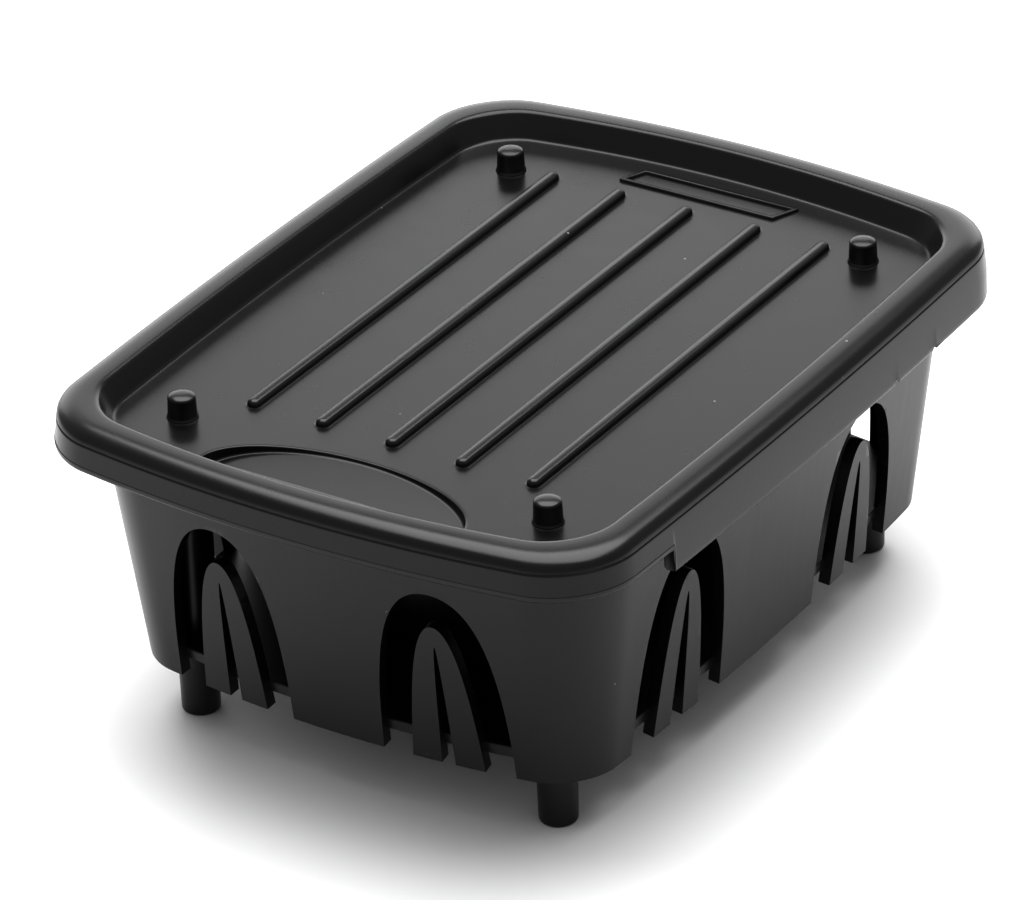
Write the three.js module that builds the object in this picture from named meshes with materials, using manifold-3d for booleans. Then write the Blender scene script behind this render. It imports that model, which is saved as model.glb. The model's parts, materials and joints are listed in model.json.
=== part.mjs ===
// Bait station for crawling insects: a drafted tub on four legs, a lift-off lid, and inside
// them a bait tray with two bait cakes. Millimetres, +Z up, +Y to the rear, origin on the
// ground under the middle of the station.
import * as THREE from "three";
import { mergeVertices } from "three/addons/utils/BufferGeometryUtils.js";
import Module from "manifold-3d";

const wasm = await Module();
wasm.setup();

// ---- Driving dimensions -------------------------------------------------------------------

const GAP = 0.3; // between pieces that touch
const OVERLAP = 0.4; // between features fused into one piece
const BEYOND = 10; // how far a cutter runs past what it cuts

// Heights
const WALL_BOTTOM = 6.9; // lower edge of the tub wall, above the ground
const FLOOR_TOP = 10.0; // upper face of the tub floor
const PANEL_TOP = 34.0; // upper face of the lid's sunk panel
const RIM_RISE = 2.8; // rim above the panel

// Wall thicknesses
const BASE_WALL = 1.3;
const LID_WALL = 1.3;
const TRAY_WALL = 1.2;

// Plan of the lid, at the edge of the sunk panel
const PANEL_HALF_X = 28.3;
const PANEL_HALF_Y = 36.5;
const PANEL_CORNER = 5.5;
const LID_BOW_X = 0.9; // how far each side bows out between the corners
const LID_BOW_Y = 3.2;

// Rim and skirt of the lid
const RIM_SLOPE = 1.1; // lean of the wall between panel and rim
const RIM_WIDTH = 3.4;
const RIM_EDGE = 0.3; // chamfer along the inner edge of the rim
const RIM_SHOULDER = { width: 1.5, drop: 0.9, steps: 3 }; // round outer shoulder of the rim
const PANEL_FILLET = 0.4; // where that wall rises from the panel
const RIM_CORNER_GAIN = 0.4; // corner radius gained for each millimetre outwards
const CREASE_DEPTH = 0.25; // crease under the shoulder
const SKIRT_FLARE = 0.3;
const SKIRT_DEEP = 7.0; // skirt below the rim at the sides and rear
const SKIRT_SHALLOW = 4.5; // skirt below the rim across the front
const SKIRT_STEP_IN = 9.5; // where the skirt changes depth, behind the panel's front corners

// Tub wall, whose plan is set at its top edge, out from the edge of the lid's panel
const TUB_OUT_X = 1.7;
const TUB_OUT_Y = 0.9;
const TUB_CORNER = 7.7;
const TUB_BOW_X = 1.35;
const TUB_BOW_Y = 2.8;
const TUB_DRAFT = 0.117; // inward lean for each millimetre down the wall
const TUB_CORNER_LOSS = 0.8; // corner radius lost for each millimetre inwards

// Doorways: an arch in the wall with a slit ramp tongue standing in it
const END_ARCH = { fromPost: 8.8, half: 7.3, belowSkirt: 2.3, slitHalf: 0.75 };
const SIDE_ARCH_FRONT = { fromPost: 12.1, half: 7.9, belowSkirt: 1.2, slitHalf: 1.1 };
const SIDE_ARCH_REAR = { fromPost: 15.1, half: 7.9, belowSkirt: 3.5, slitHalf: 1.1 };
const TONGUE_HALF = 4.0;
const TONGUE_BELOW_ARCH = 3.9;
const SLIT_BELOW_TONGUE = 2.4;

// Legs and pegs share four axes, in from the edge of the panel; the front two have a post and pin
const POST_IN_X = 6.8;
const POST_IN_Y = 5.9;
const LEG_RADIUS = 2.05;
const LEG_FLARE = 0.1;
const LEG_ROUND = 0.4;
const POST_WALL = 0.8;
const PIN_RADIUS = 1.2;
const PIN_LENGTH = 8.0;
const PIN_POINT = 0.5;
const PEG_RADIUS = 1.5;
const PEG_TAPER = 0.1;
const PEG_HEIGHT = 2.6;
const PEG_ROUND = 0.35;
const PEG_FOOT = 0.2;

// Ribs on the panel
const RIB_COUNT = 5;
const RIB_RADIUS = 0.6;
const RIB_PEG_SPACE = 5.0; // from the outer ribs across to the peg axes
const RIB_FRONT_IN = 10.4; // rib ends, in from the front and rear edges of the panel
const RIB_REAR_IN = 4.8;

// Thumb recess at the front of the panel
const RECESS_HALF = 15.3;
const RECESS_REACH = 7.2;
const RECESS_FRONT_IN = -0.2; // its front edge, in from the panel's front corners
const RECESS_SHALLOW = 0.3; // depth at its rear edge
const RECESS_DEEP = 1.5; // depth at its front edge

// Blank label frame at the rear of the panel
const LABEL = { half: 9.4, depth: 3.2, rearIn: -0.7, lean: 1.4, line: 0.45, rise: 0.3 };

// Bait tray and bait
const WALKWAY_X = 12.5; // from the tub wall's foot to the tray, at the sides
const WALKWAY_Y = 11.4; // and at the ends
const TRAY_CORNER = 3.0;
const TRAY_HEIGHT = 8.0;
const FIN_HALF = 7.0;
const FIN_RISE = 4.5; // grip fin above the tray wall
const STOP_RISE = 2.2; // locating ribs on the tub floor
const STOP_WALL = 1.2;
const STOP_LENGTH = 6.0;
const BAIT_BELOW_RIM = 1.6;

// Facets
const CORNER_STEPS = 6;
const SIDE_STEPS = 5;
const ROUND_STEPS = 20;
const CURVE_STEPS = 10;

// ---- Materials ----------------------------------------------------------------------------

const blackPlastic = { color: 0x17181a, roughness: 0.42, metalness: 0.0 };
const trayPlastic = { color: 0x1d1e20, roughness: 0.55, metalness: 0.0 };
const baitPaste = { color: 0x5a3a1c, roughness: 0.85, metalness: 0.0 };

// ---- Solids -------------------------------------------------------------------------------

function toSolid(geometry) {
  const bare = geometry.index ? geometry.toNonIndexed() : geometry.clone();
  bare.deleteAttribute("normal");
  bare.deleteAttribute("uv");
  const merged = mergeVertices(bare, 1e-4);
  const index = merged.index.array;
  const keep = [];
  for (let i = 0; i < index.length; i += 3) {
    const [a, b, c] = [index[i], index[i + 1], index[i + 2]];
    if (a !== b && b !== c && c !== a) keep.push(a, b, c);
  }
  return new wasm.Manifold(
    new wasm.Mesh({
      numProp: 3,
      vertProperties: new Float32Array(merged.attributes.position.array),
      triVerts: new Uint32Array(keep),
    }),
  );
}

function toMesh(name, solid, look) {
  const mesh = solid.getMesh();
  const geometry = new THREE.BufferGeometry();
  geometry.setAttribute("position", new THREE.Float32BufferAttribute(mesh.vertProperties, 3));
  geometry.setIndex(Array.from(mesh.triVerts));
  geometry.computeVertexNormals();
  const piece = new THREE.Mesh(geometry, new THREE.MeshStandardMaterial(look));
  piece.name = name;
  return piece;
}

function union(solids) {
  return solids.reduce((whole, next) => whole.add(next));
}

// A shape drawn in plan, raised from one height to another.
function slab(shape, low, high) {
  const geometry = new THREE.ExtrudeGeometry(shape, {
    depth: high - low,
    bevelEnabled: false,
    curveSegments: CURVE_STEPS,
  });
  return toSolid(geometry.translate(0, 0, low));
}

function rectangle(x0, x1, y0, y1) {
  return new THREE.Shape([
    new THREE.Vector2(x0, y0),
    new THREE.Vector2(x1, y0),
    new THREE.Vector2(x1, y1),
    new THREE.Vector2(x0, y1),
  ]);
}

// A round turned solid on the Z axis, from [radius, height] pairs that start and end on it.
function turned(profile, x, y) {
  const points = profile.map(([radius, z]) => new THREE.Vector2(radius, z));
  const geometry = new THREE.LatheGeometry(points, ROUND_STEPS).rotateX(Math.PI / 2);
  return toSolid(geometry.translate(x, y, 0));
}

// The columns of the station's plan: a rectangle with round corners, each column carrying the
// corner or side point that it turns about and the direction in which it faces.
function planColumns() {
  const corners = [[1, 1], [-1, 1], [-1, -1], [1, -1]];
  const columns = [];
  corners.forEach(([x, y], quarter) => {
    for (let i = 0; i <= CORNER_STEPS; i += 1) {
      columns.push({ x, y, angle: ((quarter + i / CORNER_STEPS) * Math.PI) / 2 });
    }
    const [nextX, nextY] = corners[(quarter + 1) % corners.length];
    for (let i = 1; i < SIDE_STEPS; i += 1) {
      const along = i / SIDE_STEPS;
      columns.push({
        x: x + (nextX - x) * along,
        y: y + (nextY - y) * along,
        angle: ((quarter + 1) * Math.PI) / 2,
      });
    }
  });
  return columns;
}

// A lathe whose section follows the bowed plan instead of a circle. Each ring of the section
// has its half sizes, corner radius and height; a ring with no halfX is a point on the axis.
function bowedLathe(rings, bowX, bowY) {
  const columns = planColumns();
  const points = rings.map((ring) => new THREE.Vector2(ring.halfX ? ring.corner : 0, ring.z));
  const geometry = new THREE.LatheGeometry(points, columns.length);
  const position = geometry.attributes.position;
  for (let i = 0; i <= columns.length; i += 1) {
    const column = columns[i % columns.length];
    rings.forEach((ring, j) => {
      let x = 0;
      let y = 0;
      if (ring.halfX) {
        x = column.x * (ring.halfX - ring.corner) + ring.corner * Math.cos(column.angle);
        y = column.y * (ring.halfY - ring.corner) + ring.corner * Math.sin(column.angle);
        const acrossX = x / ring.halfX;
        const acrossY = y / ring.halfY;
        x += bowX * acrossX * (1 - acrossY * acrossY);
        y += bowY * acrossY * (1 - acrossX * acrossX);
      }
      position.setXYZ(i * rings.length + j, x, y, ring.z);
    });
  }
  return toSolid(geometry);
}

// ---- Tub ----------------------------------------------------------------------------------

const RIM_TOP = PANEL_TOP + RIM_RISE;
const LID_UNDERSIDE = PANEL_TOP - LID_WALL;
const SKIRT_LOW = RIM_TOP - SKIRT_DEEP;
const WALL_TOP = LID_UNDERSIDE - GAP;
const FLOOR_BOTTOM = FLOOR_TOP - BASE_WALL;
const POST_X = PANEL_HALF_X - POST_IN_X;
const POST_Y = PANEL_HALF_Y - POST_IN_Y;
const BORE_RADIUS = PIN_RADIUS + GAP;
const POST_RADIUS = BORE_RADIUS + POST_WALL;

// A ring of the tub at a height, moved in from its outer face.
function tubRing(z, inset) {
  const lean = (WALL_TOP - z) * TUB_DRAFT;
  return {
    halfX: PANEL_HALF_X + TUB_OUT_X - lean - inset,
    halfY: PANEL_HALF_Y + TUB_OUT_Y - lean - inset,
    corner: TUB_CORNER - lean * TUB_CORNER_LOSS - inset,
    z,
  };
}

const TUB_FOOT = tubRing(WALL_BOTTOM, 0);

function tubSolid(rings) {
  return bowedLathe(rings, TUB_BOW_X, TUB_BOW_Y);
}

// Half of an arch outline as a curve from its foot to its crown; bulge sets how square it is.
function archShape(half, bottom, top, bulge) {
  const rise = top - bottom;
  const shape = new THREE.Shape();
  shape.moveTo(half, bottom - BEYOND);
  shape.lineTo(half, bottom);
  const shoulder = bottom + rise * bulge.shoulder;
  shape.bezierCurveTo(half * bulge.foot, shoulder, half * bulge.crown, top, 0, top);
  shape.bezierCurveTo(-half * bulge.crown, top, -half * bulge.foot, shoulder, -half, bottom);
  shape.lineTo(-half, bottom - BEYOND);
  return shape;
}

const ARCH_BULGE = { foot: 0.97, shoulder: 0.62, crown: 0.72 };
const TONGUE_BULGE = { foot: 0.85, shoulder: 0.45, crown: 0.62 };
const SLIT_BULGE = { foot: 0.7, shoulder: 0.5, crown: 0.3 };

// The open space of one doorway, drawn upright and run through the wall that faces `turn`.
function doorway(arch, across, reach, turn) {
  const upright = (shape) => {
    const geometry = new THREE.ExtrudeGeometry(shape, {
      depth: BEYOND * 2,
      bevelEnabled: false,
      curveSegments: CURVE_STEPS,
    });
    return toSolid(geometry.rotateX(Math.PI / 2).translate(across, BEYOND - reach, 0).rotateZ(turn));
  };
  const archTop = SKIRT_LOW - arch.belowSkirt;
  const tongueTop = archTop - TONGUE_BELOW_ARCH;
  const slitTop = tongueTop - SLIT_BELOW_TONGUE;
  const opening = upright(archShape(arch.half, WALL_BOTTOM, archTop, ARCH_BULGE));
  const tongue = upright(archShape(TONGUE_HALF, WALL_BOTTOM, tongueTop, TONGUE_BULGE));
  const slit = upright(archShape(arch.slitHalf, WALL_BOTTOM, slitTop, SLIT_BULGE));
  return opening.subtract(tongue.subtract(slit));
}

function allDoorways() {
  const cuts = [];
  for (const side of [-1, 1]) {
    for (const turn of [0, Math.PI]) {
      cuts.push(doorway(END_ARCH, side * (POST_X - END_ARCH.fromPost), TUB_FOOT.halfY, turn));
    }
    for (const [arch, end] of [
      [SIDE_ARCH_FRONT, -side],
      [SIDE_ARCH_REAR, side],
    ]) {
      const across = end * (POST_Y - arch.fromPost);
      cuts.push(doorway(arch, across, TUB_FOOT.halfX, (side * Math.PI) / 2));
    }
  }
  return union(cuts);
}

function leg(x, y) {
  const top = FLOOR_BOTTOM + OVERLAP;
  return turned(
    [
      [0, 0],
      [LEG_RADIUS - LEG_ROUND, 0],
      [LEG_RADIUS, LEG_ROUND],
      [LEG_RADIUS + LEG_FLARE, FLOOR_BOTTOM],
      [LEG_RADIUS + LEG_FLARE, top],
      [0, top],
    ],
    x,
    y,
  );
}

// A hollow post on the floor that takes a lid pin.
function post(x, y) {
  const foot = FLOOR_TOP - OVERLAP;
  const boreBottom = LID_UNDERSIDE - PIN_LENGTH - GAP * 2;
  return turned(
    [
      [0, foot],
      [POST_RADIUS, foot],
      [POST_RADIUS, WALL_TOP],
      [BORE_RADIUS, WALL_TOP],
      [BORE_RADIUS, boreBottom],
      [0, boreBottom],
    ],
    x,
    y,
  );
}

const TRAY_HALF_X = TUB_FOOT.halfX - WALKWAY_X;
const TRAY_HALF_Y = TUB_FOOT.halfY - WALKWAY_Y;

// Four angled ribs on the floor that keep the tray in the middle.
function trayStops() {
  const inX = TRAY_HALF_X + GAP;
  const inY = TRAY_HALF_Y + GAP;
  const outX = inX + STOP_WALL;
  const outY = inY + STOP_WALL;
  const shape = new THREE.Shape([
    new THREE.Vector2(outX - STOP_LENGTH, inY),
    new THREE.Vector2(inX, inY),
    new THREE.Vector2(inX, outY - STOP_LENGTH),
    new THREE.Vector2(outX, outY - STOP_LENGTH),
    new THREE.Vector2(outX, outY),
    new THREE.Vector2(outX - STOP_LENGTH, outY),
  ]);
  const stop = slab(shape, FLOOR_TOP - OVERLAP, FLOOR_TOP + STOP_RISE);
  const pair = stop.add(stop.mirror([1, 0, 0]));
  return pair.add(pair.mirror([0, 1, 0]));
}

// One solid on each corner axis, or on the two front ones only.
function onAxes(ends, make) {
  const solids = [];
  for (const x of [-POST_X, POST_X]) {
    for (const end of ends) solids.push(make(x, end * POST_Y));
  }
  return union(solids);
}

const FRONT_ONLY = [-1];
const ALL_FOUR = [-1, 1];

function makeBase() {
  const wall = tubSolid([
    tubRing(WALL_BOTTOM, BASE_WALL),
    tubRing(WALL_BOTTOM, 0),
    tubRing(WALL_TOP, 0),
    tubRing(WALL_TOP, BASE_WALL),
    tubRing(WALL_BOTTOM, BASE_WALL),
  ]);
  const floorInset = BASE_WALL - OVERLAP;
  const floor = tubSolid([
    { z: FLOOR_BOTTOM },
    tubRing(FLOOR_BOTTOM, floorInset),
    tubRing(FLOOR_TOP, floorInset),
    { z: FLOOR_TOP },
  ]);
  const legs = onAxes(ALL_FOUR, leg);
  const posts = onAxes(FRONT_ONLY, post);
  return wall.subtract(allDoorways()).add(floor).add(trayStops()).add(legs).add(posts);
}

// ---- Lid ----------------------------------------------------------------------------------

const RECESS_FRONT_Y = RECESS_FRONT_IN - PANEL_HALF_Y;

// A ring of the lid's seen face, out from the edge of the panel, or of its hidden face, in
// from the seen one by the wall.
function lidRing(out, z, inset = 0) {
  return {
    halfX: PANEL_HALF_X + out - inset,
    halfY: PANEL_HALF_Y + out - inset,
    corner: PANEL_CORNER + out * RIM_CORNER_GAIN - inset,
    z,
  };
}

// The rings of the rim's outer shoulder, a quarter of an ellipse from its foot to the flat top.
function shoulderRings(rimOut) {
  return Array.from({ length: RIM_SHOULDER.steps + 1 }, (_, i) => {
    const angle = ((i / RIM_SHOULDER.steps) * Math.PI) / 2;
    const inwards = RIM_SHOULDER.width * (1 - Math.cos(angle));
    return lidRing(rimOut - inwards, RIM_TOP - RIM_SHOULDER.drop * (1 - Math.sin(angle)));
  });
}

function lidShell() {
  const rimOut = RIM_SLOPE + RIM_WIDTH;
  const skirtOut = rimOut + SKIRT_FLARE;
  const ceiling = RIM_TOP - LID_WALL;
  const shoulderFoot = RIM_TOP - RIM_SHOULDER.drop;
  return bowedLathe(
    [
      { z: LID_UNDERSIDE },
      lidRing(LID_WALL, LID_UNDERSIDE),
      lidRing(LID_WALL + RIM_SLOPE, ceiling),
      lidRing(rimOut - LID_WALL, ceiling),
      lidRing(skirtOut, SKIRT_LOW, LID_WALL),
      lidRing(skirtOut, SKIRT_LOW),
      lidRing(rimOut + CREASE_DEPTH / 2, shoulderFoot - CREASE_DEPTH * 2),
      lidRing(rimOut - CREASE_DEPTH, shoulderFoot - CREASE_DEPTH),
      ...shoulderRings(rimOut),
      lidRing(RIM_SLOPE + RIM_EDGE, RIM_TOP),
      lidRing(RIM_SLOPE, RIM_TOP - RIM_EDGE),
      lidRing(PANEL_FILLET, PANEL_TOP + PANEL_FILLET),
      lidRing(0, PANEL_TOP),
      { z: PANEL_TOP },
    ],
    LID_BOW_X,
    LID_BOW_Y,
  );
}

// The strip of skirt that is missing across the front.
function skirtRelief() {
  const wide = PANEL_HALF_X + BEYOND * 2;
  const deep = PANEL_HALF_Y + BEYOND * 2;
  const shape = rectangle(-wide, wide, -deep, SKIRT_STEP_IN - PANEL_HALF_Y);
  return slab(shape, SKIRT_LOW - BEYOND, RIM_TOP - SKIRT_SHALLOW);
}

function recessOutline(grow) {
  const shape = new THREE.Shape();
  const half = RECESS_HALF + grow;
  shape.moveTo(half, RECESS_FRONT_Y - grow);
  shape.lineTo(half, RECESS_FRONT_Y);
  shape.absellipse(0, RECESS_FRONT_Y, half, RECESS_REACH + grow, 0, Math.PI, false, 0);
  shape.lineTo(-half, RECESS_FRONT_Y - grow);
  return shape;
}

// The thumb recess as a cutter whose floor falls towards the front.
function recessCutter() {
  const fall = Math.atan2(RECESS_DEEP - RECESS_SHALLOW, RECESS_REACH);
  const rear = RECESS_FRONT_Y + RECESS_REACH;
  const geometry = new THREE.ExtrudeGeometry(recessOutline(0), {
    depth: BEYOND,
    bevelEnabled: false,
    curveSegments: CURVE_STEPS * 2,
  });
  geometry.translate(0, -rear, 0).rotateX(fall).translate(0, rear, PANEL_TOP - RECESS_SHALLOW);
  return toSolid(geometry);
}

// What backs the recess from below, kept clear of the inside of the tub wall.
function recessBacking() {
  const low = PANEL_TOP - RECESS_DEEP - LID_WALL;
  const high = LID_UNDERSIDE + OVERLAP;
  const inset = BASE_WALL + GAP;
  const insideTub = [{ z: low }, tubRing(low, inset), tubRing(high, inset), { z: high }];
  return slab(recessOutline(LID_WALL - GAP), low, high).intersect(tubSolid(insideTub));
}

// One half-round rib with ball ends: a capsule sunk to its middle in the panel.
function rib(x) {
  const front = RIB_FRONT_IN - PANEL_HALF_Y;
  const rear = PANEL_HALF_Y - RIB_REAR_IN;
  const length = rear - front - 2 * RIB_RADIUS;
  const geometry = new THREE.CapsuleGeometry(RIB_RADIUS, length, 3, ROUND_STEPS / 2, 1);
  return toSolid(geometry.translate(x, (rear + front) / 2, PANEL_TOP));
}

function allRibs() {
  const middle = (RIB_COUNT - 1) / 2;
  const pitch = (POST_X - RIB_PEG_SPACE) / middle;
  return union(Array.from({ length: RIB_COUNT }, (_, i) => rib((i - middle) * pitch)));
}

function peg(x, y) {
  const foot = LID_UNDERSIDE + OVERLAP;
  const top = PANEL_TOP + PEG_HEIGHT;
  return turned(
    [
      [0, foot],
      [PEG_RADIUS + PEG_FOOT, foot],
      [PEG_RADIUS + PEG_FOOT, PANEL_TOP + PEG_FOOT],
      [PEG_RADIUS, PANEL_TOP + PEG_FOOT * 2],
      [PEG_RADIUS - PEG_TAPER, top - PEG_ROUND],
      [PEG_RADIUS - PEG_TAPER - PEG_ROUND, top],
      [0, top],
    ],
    x,
    y,
  );
}

// A pin under the lid that presses into a post.
function pin(x, y) {
  const tip = LID_UNDERSIDE - PIN_LENGTH;
  const root = LID_UNDERSIDE + OVERLAP;
  return turned(
    [
      [0, tip],
      [PIN_RADIUS - PIN_POINT, tip],
      [PIN_RADIUS, tip + PIN_POINT * 2],
      [PIN_RADIUS, root],
      [0, root],
    ],
    x,
    y,
  );
}

function labelOutline(inset) {
  const rear = PANEL_HALF_Y - LABEL.rearIn - inset;
  const front = PANEL_HALF_Y - LABEL.rearIn - LABEL.depth + inset;
  const lean = (LABEL.lean * (rear - front)) / LABEL.depth;
  const half = LABEL.half - inset;
  return [
    new THREE.Vector2(-half - lean / 2, front),
    new THREE.Vector2(half - lean / 2, front),
    new THREE.Vector2(half + lean / 2, rear),
    new THREE.Vector2(-half + lean / 2, rear),
  ];
}

// The raised outline round a blank label space.
function labelFrame() {
  const shape = new THREE.Shape(labelOutline(0));
  shape.holes.push(new THREE.Path(labelOutline(LABEL.line)));
  return slab(shape, PANEL_TOP - OVERLAP, PANEL_TOP + LABEL.rise);
}

function makeLid() {
  return lidShell()
    .subtract(skirtRelief())
    .add(recessBacking())
    .subtract(recessCutter())
    .add(allRibs())
    .add(onAxes(ALL_FOUR, peg))
    .add(onAxes(FRONT_ONLY, pin))
    .add(labelFrame());
}

// ---- Bait tray and bait -------------------------------------------------------------------

const TRAY_BOTTOM = FLOOR_TOP + GAP;
const TRAY_TOP = TRAY_BOTTOM + TRAY_HEIGHT;

function roundedRectangle(x0, x1, y0, y1, corner) {
  const shape = new THREE.Shape();
  shape.moveTo(x0 + corner, y0);
  shape.lineTo(x1 - corner, y0);
  shape.absarc(x1 - corner, y0 + corner, corner, -Math.PI / 2, 0);
  shape.absarc(x1 - corner, y1 - corner, corner, 0, Math.PI / 2);
  shape.absarc(x0 + corner, y1 - corner, corner, Math.PI / 2, Math.PI);
  shape.absarc(x0 + corner, y0 + corner, corner, Math.PI, Math.PI * 1.5);
  return shape;
}

// One well of the tray, or with a larger inset the bait that lies in it, on the +Y or -Y side.
function wellShape(side, inset) {
  const x = TRAY_HALF_X - TRAY_WALL - inset;
  const near = TRAY_WALL / 2 + inset;
  const far = TRAY_HALF_Y - TRAY_WALL - inset;
  const [y0, y1] = side > 0 ? [near, far] : [-far, -near];
  return roundedRectangle(-x, x, y0, y1, TRAY_CORNER - TRAY_WALL);
}

// The divider between the wells rises into a round-topped fin to lift the tray by.
function gripFin() {
  const low = TRAY_BOTTOM + TRAY_WALL / 2;
  const rise = TRAY_TOP - low;
  const shape = new THREE.Shape();
  shape.moveTo(-FIN_HALF, 0);
  shape.lineTo(FIN_HALF, 0);
  shape.lineTo(FIN_HALF, rise);
  shape.absellipse(0, rise, FIN_HALF, FIN_RISE, 0, Math.PI, false, 0);
  const geometry = new THREE.ExtrudeGeometry(shape, {
    depth: TRAY_WALL,
    bevelEnabled: false,
    curveSegments: CURVE_STEPS,
  });
  return toSolid(geometry.rotateX(Math.PI / 2).translate(0, TRAY_WALL / 2, low));
}

function makeTray() {
  const outline = roundedRectangle(-TRAY_HALF_X, TRAY_HALF_X, -TRAY_HALF_Y, TRAY_HALF_Y, TRAY_CORNER);
  const block = slab(outline, TRAY_BOTTOM, TRAY_TOP);
  const wells = [-1, 1].map((side) => slab(wellShape(side, 0), TRAY_BOTTOM + TRAY_WALL, TRAY_TOP + BEYOND));
  return block.subtract(union(wells)).add(gripFin());
}

function makeBait(side) {
  return slab(wellShape(side, GAP), TRAY_BOTTOM + TRAY_WALL + GAP, TRAY_TOP - BAIT_BELOW_RIM);
}

// ---- Assembly -----------------------------------------------------------------------------

const group = new THREE.Group();
group.add(
  toMesh("base", makeBase(), blackPlastic),
  toMesh("lid", makeLid(), blackPlastic),
  toMesh("bait_tray", makeTray(), trayPlastic),
  toMesh("bait_front", makeBait(-1), baitPaste),
  toMesh("bait_rear", makeBait(1), baitPaste),
);

export default group;
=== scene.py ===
"""Looks of an insect bait station: a moulded lid with ribs and pegs, a drafted tub with arched
doorways, and the bait tray inside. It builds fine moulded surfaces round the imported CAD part."""
import json
import math
from typing import NamedTuple

import bmesh
import bpy
from mathutils import Matrix, Vector, noise


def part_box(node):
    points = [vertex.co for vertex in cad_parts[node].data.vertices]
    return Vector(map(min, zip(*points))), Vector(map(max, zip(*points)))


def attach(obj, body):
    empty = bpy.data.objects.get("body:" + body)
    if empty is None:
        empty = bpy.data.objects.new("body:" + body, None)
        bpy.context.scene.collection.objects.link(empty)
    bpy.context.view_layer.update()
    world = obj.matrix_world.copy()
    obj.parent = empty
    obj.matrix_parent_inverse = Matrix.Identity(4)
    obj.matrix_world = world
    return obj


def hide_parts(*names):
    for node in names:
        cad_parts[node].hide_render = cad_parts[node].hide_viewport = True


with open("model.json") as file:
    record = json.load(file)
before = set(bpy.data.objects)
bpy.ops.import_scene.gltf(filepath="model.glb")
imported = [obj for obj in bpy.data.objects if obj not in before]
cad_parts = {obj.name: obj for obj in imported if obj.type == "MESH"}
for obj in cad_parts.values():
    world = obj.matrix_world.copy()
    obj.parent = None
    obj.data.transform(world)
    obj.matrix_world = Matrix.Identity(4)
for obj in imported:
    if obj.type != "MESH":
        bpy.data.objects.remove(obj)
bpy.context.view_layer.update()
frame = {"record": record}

bl_info = {
    "name": "Bait station looks",
    "version": (1, 0, 0),
    "blender": (4, 5, 0),
    "location": "View3D > Sidebar > Bait station",
    "description": "Builds the moulded lid, tub, tray and bait of a small insect bait station",
    "category": "Object",
}

MM = 0.001
WELD = 0.002 * MM  # vertices closer than this are one
BORDER = 0.3 * MM  # flat strip kept round each raised or sunk feature, so that flats stay flat

# ---- What the frame gives ----

LID_LOW, LID_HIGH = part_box("lid")
TRAY_LOW, TRAY_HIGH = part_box("bait_tray")
MOUNTS = {mount["name"]: Vector(mount["pos_m"]) for mount in frame["record"]["mounts"]}
POST = MOUNTS["ground_rest"]  # one leg's axis, which its post, pin and peg share
POST_X, POST_Y = abs(POST.x), abs(POST.y)
PANEL_TOP = MOUNTS["lid_panel"].z
RIM_TOP = LID_HIGH.z
WALL_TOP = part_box("base")[1].z


def length(name, description, default):
    """A size in metres for a property group."""
    return bpy.props.FloatProperty(
        name=name, description=description, default=default, unit="LENGTH", precision=5
    )


def colour(name, description, default):
    """A linear colour for a property group, from an sRGB hex value."""
    return bpy.props.FloatVectorProperty(
        name=name, description=description, default=srgb(default), subtype="COLOR", size=3
    )


def angle(name, description, degrees):
    """An angle for a property group."""
    return bpy.props.FloatProperty(
        name=name, description=description, default=math.radians(degrees), subtype="ANGLE"
    )


def srgb(value):
    """A hex colour such as #1B1C1E as linear red, green and blue."""
    channels = [int(value[i : i + 2], 16) / 255 for i in (1, 3, 5)]
    return [c / 12.92 if c <= 0.04045 else ((c + 0.055) / 1.055) ** 2.4 for c in channels]


class BaitStationLidSizes(bpy.types.PropertyGroup):
    """Sizes of the lid that a user would change."""

    wall: length("Wall", "Thickness of the lid", 1.3 * MM)
    bow_x: length("Side bow", "How far the long sides bow out", 0.9 * MM)
    bow_y: length("End bow", "How far the ends bow out", 3.2 * MM)
    corner: length("Panel corner", "Corner radius of the sunk panel", 5.5 * MM)
    rim_slope: length("Rim slope", "Lean of the wall between panel and rim", 1.1 * MM)
    rim_width: length("Rim width", "Width of the rim", 3.4 * MM)
    skirt_flare: length("Skirt flare", "How far the skirt stands out below the rim", 0.3 * MM)
    skirt_deep: length("Deep skirt", "Skirt below the rim at the sides and rear", 7.0 * MM)
    skirt_shallow: length("Shallow skirt", "Skirt below the rim across the front", 4.5 * MM)
    skirt_step: length("Skirt step", "Distance of the skirt's step behind the front", 9.5 * MM)
    rib_radius: length("Rib radius", "Half width and height of the ribs", 0.75 * MM)
    peg_radius: length("Peg radius", "Radius of the pegs", 1.5 * MM)
    peg_height: length("Peg height", "Height of the pegs above the panel", 2.6 * MM)
    pin_radius: length("Pin radius", "Radius of the pins under the lid", 1.2 * MM)
    recess_half: length("Recess half width", "Half the width of the thumb recess", 15.3 * MM)
    recess_reach: length("Recess reach", "Front to rear size of the recess", 7.2 * MM)
    recess_shallow: length("Recess rear depth", "Depth of the recess at its rear", 0.3 * MM)
    recess_deep: length("Recess front depth", "Depth of the recess at its front", 1.5 * MM)


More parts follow.
